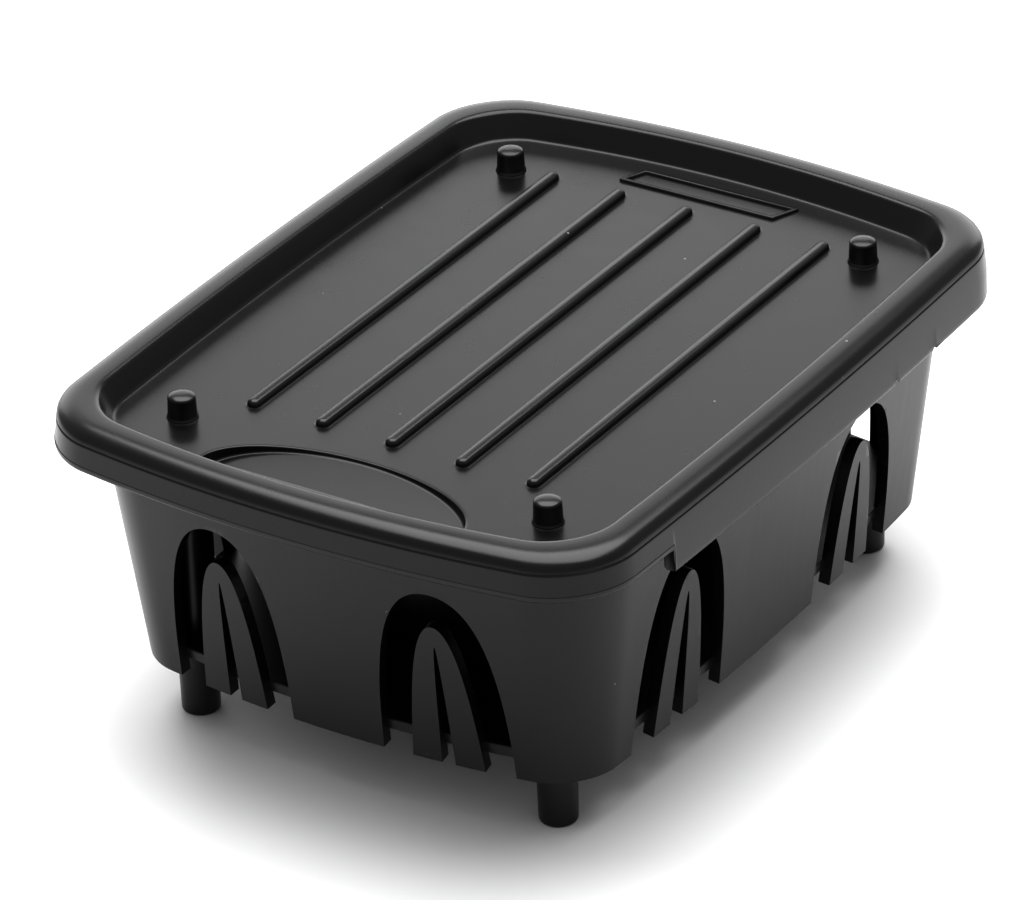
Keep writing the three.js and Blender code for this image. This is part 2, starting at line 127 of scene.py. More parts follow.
class BaitStationTubSizes(bpy.types.PropertyGroup):
    """Sizes of the tub that a user would change."""

    wall: length("Wall", "Thickness of the tub", 1.3 * MM)
    bow_x: length("Side bow", "How far the long sides bow out", 1.35 * MM)
    bow_y: length("End bow", "How far the ends bow out", 2.8 * MM)
    out_x: length("Side reach", "Top of the wall out from the lid's panel, at the sides", 1.7 * MM)
    out_y: length("End reach", "Top of the wall out from the lid's panel, at the ends", 0.9 * MM)
    corner: length("Corner", "Corner radius at the top of the wall", 7.7 * MM)
    draft: bpy.props.FloatProperty(
        name="Draft", description="Inward lean for each metre down the wall", default=0.117
    )
    wall_bottom: length("Wall bottom", "Height of the wall's lower edge", 6.9 * MM)
    floor_top: length("Floor", "Height of the tub's floor", 10.0 * MM)
    edge_round: length("Edge round", "Radius of the wall's edges", 0.16 * MM)
    leg_radius: length("Leg radius", "Radius of the legs", 2.05 * MM)
    post_radius: length("Post radius", "Radius of the posts above the legs", 2.3 * MM)


class BaitStationFinish(bpy.types.PropertyGroup):
    """Colours that a user would change."""

    plastic: colour("Moulded black", "Polypropylene of the lid and tub", "#0E0E10")
    dust: colour("Dust", "Specks of dust on the black plastic", "#7C7A76")
    tray: colour("Tray black", "Polypropylene of the tray", "#17181A")
    bait: colour("Bait", "Pressed bait", "#6B4420")
    floor: colour("Floor", "The pale floor", "#F4F4F4")


class BaitStationStage(bpy.types.PropertyGroup):
    """Camera and light."""

    azimuth: angle("Azimuth", "Camera angle round the station", 33.23)
    elevation: angle("Elevation", "Camera angle above the floor", 28.51)
    roll: angle("Roll", "Turn of the camera about its own axis", -2.1)
    distance: length("Distance", "From the camera to the middle of the lid", 0.688)
    lens: bpy.props.FloatProperty(
        name="Lens", description="Focal length of the camera, in millimetres", default=237.0
    )
    aside: length("Aside", "How far the lid's middle stands right of the view's", 1.063 * MM)
    above: length("Above", "How far the lid's middle stands above the view's", 11.209 * MM)


# ---- Outlines ----


class Ring(NamedTuple):
    """One loop of the station's bowed plan: its half sizes, corner radius and height."""

    half_x: float
    half_y: float
    corner: float
    z: object


class Column(NamedTuple):
    """A place round the plan: the corner or side point that it turns about, and its angle."""

    x: float
    y: float
    angle: float


CORNER_STEPS = 14
SIDE_STEPS = 36


def plan_columns(side_stops=()):
    """The columns of the plan, counter-clockwise from the start of the rear right corner.
    side_stops are extra places on the long sides, from -1 at the front to 1 at the rear."""
    corners = [(1, 1), (-1, 1), (-1, -1), (1, -1)]
    columns = []
    for quarter, (x, y) in enumerate(corners):
        start = quarter * math.pi / 2
        columns += [
            Column(x, y, start + i / CORNER_STEPS * math.pi / 2) for i in range(CORNER_STEPS + 1)
        ]
        next_x, next_y = corners[(quarter + 1) % len(corners)]
        shares = {i / SIDE_STEPS for i in range(1, SIDE_STEPS)}
        if x == next_x:
            shares |= {(stop - y) / (next_y - y) for stop in side_stops}
        columns += [
            Column(x + (next_x - x) * s, y + (next_y - y) * s, start + math.pi / 2)
            for s in sorted(shares)
        ]
    return columns


def plan_point(column, ring, bow):
    """Where a column stands on a ring of the bowed plan."""
    x = column.x * (ring.half_x - ring.corner) + ring.corner * math.cos(column.angle)
    y = column.y * (ring.half_y - ring.corner) + ring.corner * math.sin(column.angle)
    across_x, across_y = x / ring.half_x, y / ring.half_y
    x += bow[0] * across_x * (1 - across_y**2)
    y += bow[1] * across_y * (1 - across_x**2)
    return Vector((x, y, ring.z(x, y) if callable(ring.z) else ring.z))


def softened(points, reach, steps=4):
    """A chain of points whose inner corners are rounded, starting reach before each."""
    out = [Vector(points[0])]
    for before, here, after in zip(points, points[1:], points[2:]):
        before, here, after = Vector(before), Vector(here), Vector(after)
        a = here + (before - here).normalized() * min(reach, (before - here).length * 0.49)
        b = here + (after - here).normalized() * min(reach, (after - here).length * 0.49)
        for i in range(steps + 1):
            t = i / steps
            out.append(a * (1 - t) ** 2 + here * 2 * t * (1 - t) + b * t**2)
    out.append(Vector(points[-1]))
    return out


def closed_softened(points, reach, steps=4):
    """A closed outline whose corners are all rounded."""
    wrapped = [points[-1], *points, points[0]]
    return softened(wrapped, reach, steps)[1:-1]


def inset_outline(outline, inset):
    """A closed counter-clockwise outline moved inwards by inset at every point."""
    moved = []
    for i, here in enumerate(outline):
        before, after = outline[i - 1], outline[(i + 1) % len(outline)]
        a, b = (here - before).normalized(), (after - here).normalized()
        along = (a + b).normalized()
        inwards = Vector((-along.y, along.x))
        moved.append(here + inwards * inset / max(0.3, along.dot(b)))
    return moved


def circle_outline(x, y, radius, steps=40):
    """A closed circle."""
    return [
        Vector((x + radius * math.cos(a), y + radius * math.sin(a)))
        for a in (i / steps * math.tau for i in range(steps))
    ]


def stadium_outline(x, y0, y1, radius, steps=12):
    """A long slot shape along Y with round ends."""
    rear = [(i / steps) * math.pi for i in range(steps + 1)]
    points = [Vector((x + radius * math.cos(a), y1 - radius + radius * math.sin(a))) for a in rear]
    points += [Vector((x - radius * math.cos(a), y0 + radius - radius * math.sin(a))) for a in rear]
    return points


# ---- Skins ----


def marked_circle(bm, count, mark):
    """A loop of count vertices that carry their number, in counter-clockwise order."""
    made = bmesh.ops.create_circle(bm, segments=count, radius=1.0)["verts"]
    made.sort(key=lambda v: math.atan2(v.co.y, v.co.x))
    for i, v in enumerate(made):
        v[mark] = i
    return made, list({e for v in made for e in v.link_edges})


def run_loops(bm, count, places):
    """A skin through several loops of count points; places are functions from a point's number
    to its position. Returns the edges of the first and the last loop."""
    mark = bm.verts.layers.int.get("mark") or bm.verts.layers.int.new("mark")
    verts, edges = marked_circle(bm, count, mark)
    first = edges
    for i, place in enumerate(places):
        if i:
            made = bmesh.ops.extrude_edge_only(bm, edges=edges)["geom"]
            verts = [g for g in made if isinstance(g, bmesh.types.BMVert)]
            new = set(verts)
            edges = [
                g for g in made if isinstance(g, bmesh.types.BMEdge) and new.issuperset(g.verts)
            ]
        for v in verts:
            v.co = place(v[mark])
    return first, edges


def run_plan(bm, rings, bow, columns):
    """A skin through rings of the bowed plan."""
    places = [lambda n, ring=ring: plan_point(columns[n], ring, bow) for ring in rings]
    return run_loops(bm, len(columns), places)


def run_outline(bm, outline, steps):
    """A skin up or down through a closed outline at each (inset, height) step. The outline is a
    list of points, or a function from an inset to one."""

    def placer(inset, height):
        points = outline(inset) if callable(outline) else inset_outline(outline, inset)

        def place(n):
            p = points[n]
            return Vector((p.x, p.y, height(p) if callable(height) else height))

        return place

    count = len(outline(0.0) if callable(outline) else outline)
    return run_loops(bm, count, [placer(*step) for step in steps])


def fill_flat(bm, edges, up=1):
    """A flat face between loops that lie in one level plane."""
    bmesh.ops.triangle_fill(bm, use_beauty=True, edges=edges, normal=(0, 0, up))


def cap(bm, edges):
    """A face across one open loop."""
    bmesh.ops.holes_fill(bm, edges=edges, sides=0)


def add_feature(bm, edges, outline, steps):
    """A raised or sunk feature with a closed end, whose open foot joins the edges of a flat."""
    first, last = run_outline(bm, outline, steps)
    edges += first
    cap(bm, last)


def close_skin(bm, loops):
    """Closes both ends of a skin."""
    for edges in loops:
        cap(bm, edges)
    tidy(bm)


def tidy(bm):
    """Merges doubles and turns the faces of a closed shape outwards."""
    bmesh.ops.remove_doubles(bm, verts=bm.verts, dist=WELD)
    bmesh.ops.dissolve_degenerate(bm, edges=bm.edges, dist=WELD)
    bmesh.ops.recalc_face_normals(bm, faces=bm.faces)


def take_in(bm, shell):
    """Adds a finished shell to another mesh."""
    mesh = bpy.data.meshes.new("shell")
    shell.to_mesh(mesh)
    shell.free()
    bm.from_mesh(mesh)
    bpy.data.meshes.remove(mesh)


def turned(profile, x, y, steps=40):
    """A round shape turned about an upright axis, from (radius, height) pairs that start and
    end on it."""
    bm = bmesh.new()
    verts = [bm.verts.new((r, 0, z)) for r, z in profile]
    edges = [bm.edges.new(pair) for pair in zip(verts, verts[1:])]
    bmesh.ops.spin(
        bm, geom=verts + edges, axis=(0, 0, 1), angle=math.tau, steps=steps, use_merge=True
    )
    tidy(bm)
    bmesh.ops.translate(bm, verts=bm.verts, vec=(x, y, 0))
    return bm


def round_edges(bm, radius, sharper_than=math.radians(40), segments=2):
    """Rounds every edge of a mesh that turns by more than an angle."""
    edges = [e for e in bm.edges if e.is_manifold and e.calc_face_angle() > sharper_than]
    bmesh.ops.bevel(
        bm,
        geom=edges,
        offset=radius,
        offset_type="OFFSET",
        segments=segments,
        profile=0.5,
        affect="EDGES",
        clamp_overlap=True,
        material=-1,
    )


def make_piece(bm, name, material, body, nodes, sharp=math.radians(50)):
    """Turns a finished mesh into a piece that rides on a body and stands for CAD nodes."""
    mesh = bpy.data.meshes.new(name)
    bm.to_mesh(mesh)
    bm.free()
    mesh.shade_smooth()
    mesh.set_sharp_from_angle(angle=sharp)
    mesh.materials.append(material)
    piece = bpy.data.objects.new(name, mesh)
    bpy.context.scene.collection.objects.link(piece)
    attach(piece, body)
    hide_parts(*nodes)
    return piece


# ---- Materials ----


def add_node(tree, kind, inputs=None, **settings):
    """Adds a node with its settings, and sets or links its inputs."""
    node = tree.nodes.new(kind)
    for key, value in settings.items():
        setattr(node, key, value)
    for key, value in (inputs or {}).items():
        if isinstance(value, bpy.types.NodeSocket):
            tree.links.new(value, node.inputs[key])
        else:
            node.inputs[key].default_value = value
    return node


def new_material(name):
    """An empty node material and its node tree."""
    material = bpy.data.materials.get(name) or bpy.data.materials.new(name)
    material.use_nodes = True
    material.node_tree.nodes.clear()
    return material, material.node_tree


def noise_value(tree, place, scale, detail, roughness=0.5):
    """Smooth noise with scale lumps in each unit of the place."""
    inputs = {"Vector": place, "Scale": scale, "Detail": detail, "Roughness": roughness}
    return add_node(tree, "ShaderNodeTexNoise", inputs).outputs["Fac"]


def cells(tree, place, size):
    """Cells of a size in metres: the distance from a cell's middle and its random numbers."""
    inputs = {"Vector": place, "Scale": 1 / size, "Randomness": 1.0}
    node = add_node(tree, "ShaderNodeTexVoronoi", inputs)
    numbers = add_node(tree, "ShaderNodeSeparateColor", {"Color": node.outputs["Color"]})
    return node.outputs["Distance"], numbers.outputs


def remapped(tree, value, source, target):
    """A value carried from one range to another."""
    names = ("From Min", "From Max", "To Min", "To Max")
    inputs = {"Value": value, **dict(zip(names, (*source, *target)))}
    return add_node(tree, "ShaderNodeMapRange", inputs).outputs["Result"]


def maths(tree, operation, *values):
    """One step of arithmetic."""
    inputs = dict(enumerate(values))
    return add_node(tree, "ShaderNodeMath", inputs, operation=operation).outputs["Value"]


def mixed(tree, factor, first, second):
    """Two linear colours mixed by a factor."""
    inputs = {"Factor": factor, "A": (*first, 1.0), "B": (*second, 1.0)}
    return add_node(tree, "ShaderNodeMix", inputs, data_type="RGBA").outputs["Result"]


def bumped(tree, height, strength, depth, normal=None):
    """A normal that a height tilts, on top of another one if it is given."""
    inputs = {"Height": height, "Strength": strength, "Distance": depth}
    if normal is not None:
        inputs["Normal"] = normal
    return add_node(tree, "ShaderNodeBump", inputs).outputs["Normal"]


def surface(tree, inputs):
    """The surface shader with its inputs, and the output."""
    shader = add_node(tree, "ShaderNodeBsdfPrincipled", inputs)
    add_node(tree, "ShaderNodeOutputMaterial", {"Surface": shader.outputs["BSDF"]})


RIPPLE = 3.5 * MM  # ripples of the mould's skin, far too shallow to see as shape
GRAIN = 0.12 * MM  # spark-eroded grain; a real one is near 0.03 mm, drawn wider so that it shows
STREAK = (0.9 * MM, 0.9 * MM, 45 * MM)  # streaks of the draw, long upwards
RIPPLE_DEPTH, STREAK_DEPTH, GRAIN_DEPTH = 0.01 * MM, 0.02 * MM, 0.004 * MM
GLOSS = (0.255, 0.275)  # roughness of the semi-gloss skin
DUST_CELL = 2.6 * MM
DUST_SHARE = (0.84, 1.0)  # one cell in six has a speck of dust
DUST_SIZE = (0.0, 0.055)  # radius of a speck as a share of its cell
IOR_POLYPROPYLENE = 1.49


def moulded_polypropylene(name, base, dust, streaks):
    """Moulded polypropylene, semi-gloss black. The polished mould leaves a smooth skin with a
    soft mirror, the draw out of the mould leaves faint upright streaks on the walls, and the
    surface holds a few specks of dust."""
    material, tree = new_material(name)
    place = add_node(tree, "ShaderNodeTexCoord").outputs["Object"]
    ripple = noise_value(tree, place, 1 / RIPPLE, 3.0)
    grain = noise_value(tree, place, 1 / GRAIN, 2.0)
    scale = {"Vector": place, "Scale": [1 / size for size in STREAK]}
    upright = add_node(tree, "ShaderNodeMapping", scale).outputs["Vector"]
    draw = noise_value(tree, upright, 1.0, 4.0, 0.6)
    gloss = remapped(tree, ripple, (0.3, 0.7), GLOSS)
    distance, numbers = cells(tree, place, DUST_CELL)
    speck_radius = remapped(tree, numbers["Red"], DUST_SHARE, DUST_SIZE)
    speck = maths(tree, "LESS_THAN", distance, speck_radius)
    normal = bumped(tree, ripple, 0.05, RIPPLE_DEPTH)
    normal = bumped(tree, draw, streaks * 4, STREAK_DEPTH, normal)
    inputs = {
        "Base Color": mixed(tree, speck, base, dust),
        "Roughness": maths(tree, "MULTIPLY_ADD", draw, streaks, gloss),
        "IOR": IOR_POLYPROPYLENE,
        "Normal": bumped(tree, grain, 0.12, GRAIN_DEPTH, normal),
    }
    surface(tree, inputs)
    return material


MEAL = 0.7 * MM  # grains of the meal
PITS, PIT_DEPTH = 1.4 * MM, 0.25 * MM
IOR_BAIT = 1.45


def pressed_bait(name, base):
    """Pressed bait paste: dull brown meal with darker and paler grains and small pits."""
    material, tree = new_material(name)
    place = add_node(tree, "ShaderNodeTexCoord").outputs["Object"]
    distance, numbers = cells(tree, place, MEAL)
    pits = noise_value(tree, place, 1 / PITS, 6.0)
    darker, paler = [c * 0.45 for c in base], [min(1.0, c * 1.7) for c in base]
    height = maths(tree, "MULTIPLY_ADD", distance, -0.6, pits)
    inputs = {
        "Base Color": mixed(tree, numbers["Green"], darker, paler),
        "Roughness": 0.82,
        "IOR": IOR_BAIT,
        "Normal": bumped(tree, height, 0.7, PIT_DEPTH),
    }
    surface(tree, inputs)
    return material


def matte_paper(name, base):
    """White background paper: even, matte and clean."""
    material, tree = new_material(name)
    surface(tree, {"Base Color": (*base, 1.0), "Roughness": 0.9, "IOR": 1.4})
    return material


# ---- Lid ----


def panel_half(lid):
    """Half sizes of the sunk panel between the corners, from the lid's box."""
    reach = lid.rim_slope + lid.rim_width + lid.skirt_flare
    return LID_HIGH.x - reach - lid.bow_x, LID_HIGH.y - reach - lid.bow_y


def steps_mm(table, base):
    """Steps of a feature, from a table of (inwards, up) in millimetres."""
    return [(inwards * MM, base + up * MM) for inwards, up in table]


RIM_CORNER_GAIN = 0.4  # corner radius gained for each millimetre outwards
RIM_SHOULDER = (1.9 * MM, 1.4 * MM)  # how far the rim's outer round runs across and down
SHOULDER_STEPS = 7
CREASE = 0.1 * MM  # depth of the crease between rim and skirt
PANEL_FILLET = 0.45 * MM
UNDER_ROUND = 0.3 * MM  # corner under the rim
SKIRT_EDGE = 0.3 * MM  # round of the skirt's lower edge
SKIRT_LEAN = (0.05 * MM, 0.02 * MM)  # how far the skirt stands back, at two heights
STEP_STOPS = (-0.008, -0.0004, 0.0004, 0.008)  # columns round the skirt's step
NICKS = (16.0 * MM, 24.1 * MM)  # small nicks in the skirt's lower edge on the right side
NICK_HALF, NICK_RISE = 0.4 * MM, 0.3 * MM
NICK_STOPS = (-1, -0.6, 0.6, 1)  # columns round a nick, in half widths


def lid_ring(lid, out, z, inset=0.0):
    """A ring of the lid, outwards from the panel's edge."""
    half_x, half_y = panel_half(lid)
    corner = lid.corner + out * RIM_CORNER_GAIN - inset
    return Ring(half_x + out - inset, half_y + out - inset, corner, z)


def rim_profile(lid):
    """The lid's profile from the panel's edge over the rim to the crease, as (out, height)."""
    rim_out = lid.rim_slope + lid.rim_width
    across, down = RIM_SHOULDER
    foot = RIM_TOP - down
    inner = softened(
        [
            (-BORDER * 2, PANEL_TOP),
            (0, PANEL_TOP),
            (lid.rim_slope, RIM_TOP),
            (rim_out - across, RIM_TOP),
        ],
        PANEL_FILLET,
        5,
    )
    angles = [i / SHOULDER_STEPS * math.pi / 2 for i in range(1, SHOULDER_STEPS + 1)]
    shoulder = [
        Vector((rim_out - across * (1 - math.sin(a)), RIM_TOP - down * (1 - math.cos(a))))
        for a in angles
    ]
    crease = softened(
        [
            shoulder[-1],
            (rim_out - CREASE, foot - CREASE),
            (rim_out + CREASE / 2, foot - CREASE * 2.4),
            (rim_out + CREASE * 0.7, foot - CREASE * 6),
        ],
        CREASE,
    )
    return inner + shoulder + crease[1:]


def skirt_edge(lid, up=0.0, nicks=NICKS):
    """Height of the skirt's lower edge as a function of the place on the plan."""
    step_y = lid.skirt_step - panel_half(lid)[1]

    def height(x, y):
        depth = lid.skirt_deep if y > step_y else lid.skirt_shallow
        nicked = [NICK_RISE for nick in nicks if x > 0 and abs(y - nick) < NICK_HALF * 0.9]
        return RIM_TOP - depth + up + sum(nicked)

    return height


def lid_rings(lid):
    """The lid's rings from the panel's edge over the rim, round the skirt's lower edge and back
    under the rim to the underside of the panel."""
    wall = lid.wall
    rim_out = lid.rim_slope + lid.rim_width
    skirt_out = rim_out + lid.skirt_flare
    ceiling, under = RIM_TOP - wall, PANEL_TOP - wall
    steps = [
        *rim_profile(lid),
        (skirt_out - SKIRT_LEAN[0], RIM_TOP - lid.skirt_shallow + SKIRT_EDGE * 2),
        (skirt_out - SKIRT_LEAN[1], skirt_edge(lid, SKIRT_EDGE * 2.2, ())),
        (skirt_out, skirt_edge(lid, SKIRT_EDGE)),
        (skirt_out - SKIRT_EDGE * 0.25, skirt_edge(lid, SKIRT_EDGE * 0.3)),
        (skirt_out - SKIRT_EDGE, skirt_edge(lid)),
        (skirt_out, skirt_edge(lid), wall - SKIRT_EDGE),
        (skirt_out, skirt_edge(lid, SKIRT_EDGE), wall),
        (rim_out - wall, ceiling - UNDER_ROUND),
        (rim_out - wall - UNDER_ROUND, ceiling),
        (wall + lid.rim_slope, ceiling),
        (wall, under),
        (wall - BORDER, under),
    ]
    return [lid_ring(lid, *step) for step in steps]


def lid_columns(lid):
    """The plan's columns, with extra ones at the skirt's step and nicks."""
    low = lid_ring(lid, lid.rim_slope + lid.rim_width + lid.skirt_flare, 0)
    straight = low.half_y - low.corner
    step = (lid.skirt_step - panel_half(lid)[1]) / straight
    stops = [step + side for side in STEP_STOPS]
    stops += [(nick + side * NICK_HALF) / straight for nick in NICKS for side in NICK_STOPS]
    return plan_columns(stops)


RIB_COUNT = 5
RIB_SIDE_SPACE = 5.0 * MM  # from the pegs' axes to the outer ribs
RIB_FRONT_SPACE, RIB_REAR_SPACE = 10.4 * MM, 4.8 * MM  # from the panel's ends
RIB_FILLET = 0.06 * MM
RIB_FULLNESS = 0.75  # 1 is a half circle, less is fuller
RIB_ANGLES = (12, 24, 36, 48, 60, 72, 82)


def rib_steps(radius, base):
    """A rounded rib with a broad crown and a small fillet at its foot."""
    foot = [(-BORDER, base), (0.0, base), (0.05 * MM, base + 0.02 * MM)]
    top = [
        (
            radius * (1 - math.cos(a) ** RIB_FULLNESS) + RIB_FILLET,
            base + radius * math.sin(a) ** RIB_FULLNESS,
        )
        for a in (math.radians(angle) for angle in RIB_ANGLES)
    ]
    return foot + top


def add_ribs(bm, lid, edges):
    """The ribs, spread evenly between the pegs' axes."""
    half_y = panel_half(lid)[1]
    middle = (RIB_COUNT - 1) / 2
    pitch = (POST_X - RIB_SIDE_SPACE) / middle
    front, rear = RIB_FRONT_SPACE - half_y, half_y - RIB_REAR_SPACE
    for i in range(RIB_COUNT):
        outline = stadium_outline((i - middle) * pitch, front, rear, lid.rib_radius + RIB_FILLET)
        add_feature(bm, edges, outline, rib_steps(lid.rib_radius, PANEL_TOP))


PEG_FLANGE = 0.14 * MM  # how far the flange stands out beyond the peg
PEG_FOOT = ((-0.3, 0.0), (0.0, 0.0), (0.04, 0.16), (0.10, 0.22))
PEG_DOME_ANGLES = (25, 50, 75)
PEG_CROWN = (0.5, 0.75, 0.95)  # shares of the radius


def peg_steps(lid, base):
    """A peg with a thin flange at its foot and a softly domed top."""
    grow, top = PEG_FLANGE, base + lid.peg_height
    side = [
        (grow - 0.03 * MM, base + 0.25 * MM),
        (grow, base + 0.32 * MM),
        (grow + 0.08 * MM, top - 0.45 * MM),
    ]
    dome = [
        (grow + (0.08 + 0.45 * (1 - math.cos(a))) * MM, top + (0.3 * math.sin(a) - 0.42) * MM)
        for a in (math.radians(angle) for angle in PEG_DOME_ANGLES)
    ]
    crown = [
        (grow + lid.peg_radius * share, top - 0.12 * MM * (1 - share) ** 2)
        for share in PEG_CROWN
    ]
    return [*steps_mm(PEG_FOOT, base), *side, *dome, *crown]


PIN_FILLET = 0.2 * MM
PIN_FOOT = ((-0.3, 0.0), (0.0, 0.0), (0.15, -0.05), (0.2, -0.25))
PIN_TIP = ((0.2, 1.0), (0.55, 0.15), (0.75, 0.0))


def add_pegs_and_pins(bm, lid, panel_edges, under_edges):
    """A peg on each of the four axes, and a pin under the front two."""
    under = PANEL_TOP - lid.wall
    pin_steps = [*steps_mm(PIN_FOOT, under), *steps_mm(PIN_TIP, LID_LOW.z)]
    for x in (-POST_X, POST_X):
        for y in (-POST_Y, POST_Y):
            outline = circle_outline(x, y, lid.peg_radius + PEG_FLANGE)
            add_feature(bm, panel_edges, outline, peg_steps(lid, PANEL_TOP))
        outline = circle_outline(x, -POST_Y, lid.pin_radius + PIN_FILLET, 28)
        add_feature(bm, under_edges, outline, pin_steps)


RECESS_FRONT = 0.2 * MM  # how far the recess starts in front of the panel's straight edge
RECESS_CORNER = 0.5 * MM
RECESS_LIP = ((-0.3, 0.0), (0.0, 0.0), (0.07, -0.03), (0.10, -0.10))
BACKING_GROW = 0.6 * MM


def recess_outline(lid, grow=0.0, steps=40):
    """The thumb recess in plan: half an ellipse behind a straight front edge."""
    front = -panel_half(lid)[1] - RECESS_FRONT
    half, reach = lid.recess_half + grow, lid.recess_reach + grow
    arc = [
        (half * math.cos(a), front + reach * math.sin(a))
        for a in (i / steps * math.pi for i in range(1, steps))
    ]
    corners = [(half, front - grow), *arc, (-half, front - grow)]
    return [Vector(p) for p in closed_softened(corners, RECESS_CORNER, 3)]


def recess_floor(lid, share=1.0):
    """Height of the recess floor as a function of the place; share is how far down to it."""
    front = -panel_half(lid)[1] - RECESS_FRONT

    def height(p):
        back = min(1.0, max(0.0, (p.y - front) / lid.recess_reach))
        depth = lid.recess_deep + (lid.recess_shallow - lid.recess_deep) * back
        return PANEL_TOP - depth * share

    return height


def add_recess(bm, lid, panel_edges, under_edges):
    """The thumb recess and the thick backing under it."""
    floor = recess_floor(lid)
    steps = [
        *steps_mm(RECESS_LIP, PANEL_TOP),
        (0.12 * MM, recess_floor(lid, 0.75)),
        (0.17 * MM, recess_floor(lid, 0.93)),
        (0.30 * MM, floor),
        (0.45 * MM, floor),
    ]
    add_feature(bm, panel_edges, recess_outline(lid), steps)
    under, backing_low = PANEL_TOP - lid.wall, PANEL_TOP - lid.recess_deep - lid.wall
    steps = [(-BORDER, under), (0.0, under), (0.1 * MM, under - 0.1 * MM), (0.15 * MM, backing_low)]
    add_feature(bm, under_edges, recess_outline(lid, BACKING_GROW), steps)


LABEL_LINE, LABEL_RISE, LABEL_ROUND = 0.45 * MM, 0.3 * MM, 0.09 * MM
LABEL_HALF, LABEL_DEPTH, LABEL_LEAN = 9.4 * MM, 3.2 * MM, 0.7 * MM
LABEL_REAR = 0.7 * MM  # how far it runs behind the panel's straight edge
LABEL_CORNER = 0.12 * MM


def label_outline(lid, inset):
    """The blank label frame, a leaning rectangle at the rear of the panel, moved inwards."""
    rear = panel_half(lid)[1] + LABEL_REAR
    front, half, lean = rear - LABEL_DEPTH, LABEL_HALF, LABEL_LEAN
    corners = [
        (half - lean, front), (half + lean, rear), (-half + lean, rear), (-half - lean, front)
    ]
    moved = inset_outline([Vector(p) for p in corners], inset)
    return [Vector(p) for p in closed_softened(moved, LABEL_CORNER, 2)]


def add_label(bm, lid, edges):
    """The raised line of the blank label frame."""
    line, top = LABEL_LINE, PANEL_TOP + LABEL_RISE
    side = PANEL_TOP + LABEL_RISE * 0.8
    steps = [
        (-BORDER, PANEL_TOP),
        (0.0, PANEL_TOP),
        (LABEL_ROUND / 3, side),
        (LABEL_ROUND, top),
        (line - LABEL_ROUND, top),
        (line - LABEL_ROUND / 3, side),
        (line, PANEL_TOP),
        (line + BORDER / 2, PANEL_TOP),
    ]
    add_feature(bm, edges, lambda inset: label_outline(lid, inset), steps)


def build_lid(lid):
    """The lid as one skin, with its features standing on the panel and under it."""
    bm = bmesh.new()
    loops = run_plan(bm, lid_rings(lid), (lid.bow_x, lid.bow_y), lid_columns(lid))
    panel_edges, under_edges = (list(edges) for edges in loops)
    add_ribs(bm, lid, panel_edges)
    add_pegs_and_pins(bm, lid, panel_edges, under_edges)
    add_recess(bm, lid, panel_edges, under_edges)
    add_label(bm, lid, panel_edges)
    fill_flat(bm, panel_edges)
    fill_flat(bm, under_edges, -1)
    tidy(bm)
    return bm


# ---- Tub ----

CORNER_LOSS = 0.8  # corner radius lost for each millimetre inwards
WALL_ROWS = 6
END_COLUMNS, SIDE_COLUMNS = 48, 60
FIT_GAP = 0.3 * MM  # between parts that go into each other
OVERLAP = 0.4 * MM  # how far the shells of one moulding run into each other


class Arch(NamedTuple):
    """One kind of doorway: its distance from the post's axis, its half width, its top below the
    deep skirt, and half the width of the slit in its tongue."""

    from_post: float
    half: float
    below_skirt: float
    slit_half: float


END_ARCH = Arch(8.8 * MM, 7.3 * MM, 2.3 * MM, 0.75 * MM)
SIDE_ARCH_FRONT = Arch(12.1 * MM, 7.9 * MM, 1.2 * MM, 1.1 * MM)
SIDE_ARCH_REAR = Arch(15.1 * MM, 7.9 * MM, 3.5 * MM, 1.1 * MM)
TONGUE_HALF = 4.0 * MM
TONGUE_BELOW_ARCH = 3.9 * MM
SLIT_BELOW_TONGUE = 2.4 * MM
ARCH_BULGE = (0.97, 0.62, 0.72)  # foot, shoulder and crown of the curve
TONGUE_BULGE = (0.85, 0.45, 0.62)
SLIT_BULGE = (0.7, 0.5, 0.3)


def tub_ring(tub, z, inset=0.0):
    """A ring of the tub at a height, moved in from its outer face."""
    lid = bpy.context.scene.bait_lid
    half_x, half_y = panel_half(lid)
    lean = (WALL_TOP - z) * tub.draft
    return Ring(
        half_x + tub.out_x - lean - inset,
        half_y + tub.out_y - lean - inset,
        tub.corner - lean * CORNER_LOSS - inset,
        z,
    )


def arch_curve(centre, half, bottom, top, bulge, steps=26):
    """An arch from its left foot over its crown to its right foot, as (across, height)."""
    foot, shoulder, crown = bulge
    rise = top - bottom
    half_curve = []
    for i in range(steps + 1):
        t = i / steps
        p = [(half, bottom), (half * foot, bottom + rise * shoulder), (half * crown, top), (0, top)]
        w = [(1 - t) ** 3, 3 * t * (1 - t) ** 2, 3 * t**2 * (1 - t), t**3]
        half_curve.append([sum(k * q[axis] for k, q in zip(w, p)) for axis in (0, 1)])
    left = [(centre - x, z) for x, z in half_curve]
    right = [(centre + x, z) for x, z in reversed(half_curve[:-1])]
    return left + right


def wall_sheet(shell, outline, stops, place):
    """One flat outline, given as (across, height), cut into narrow faces and laid on the wall."""
    bm = bmesh.new()
    mark = bm.verts.layers.int.new("mark")
    verts, edges = marked_circle(bm, len(outline), mark)
    for v in verts:
        across, z = outline[v[mark]]
        v.co = (across, 0, z)
    cap(bm, edges)
    for normal, values in (((1, 0, 0), stops), ((0, 0, 1), wall_rows())):
        for value in values:
            bmesh.ops.bisect_plane(
                bm,
                geom=bm.verts[:] + bm.edges[:] + bm.faces[:],
                dist=WELD / 4,
                plane_co=[value * n for n in normal],
                plane_no=normal,
            )
    for v in bm.verts:
        v.co = place(v.co.x, v.co.z)
    take_in(shell, bm)


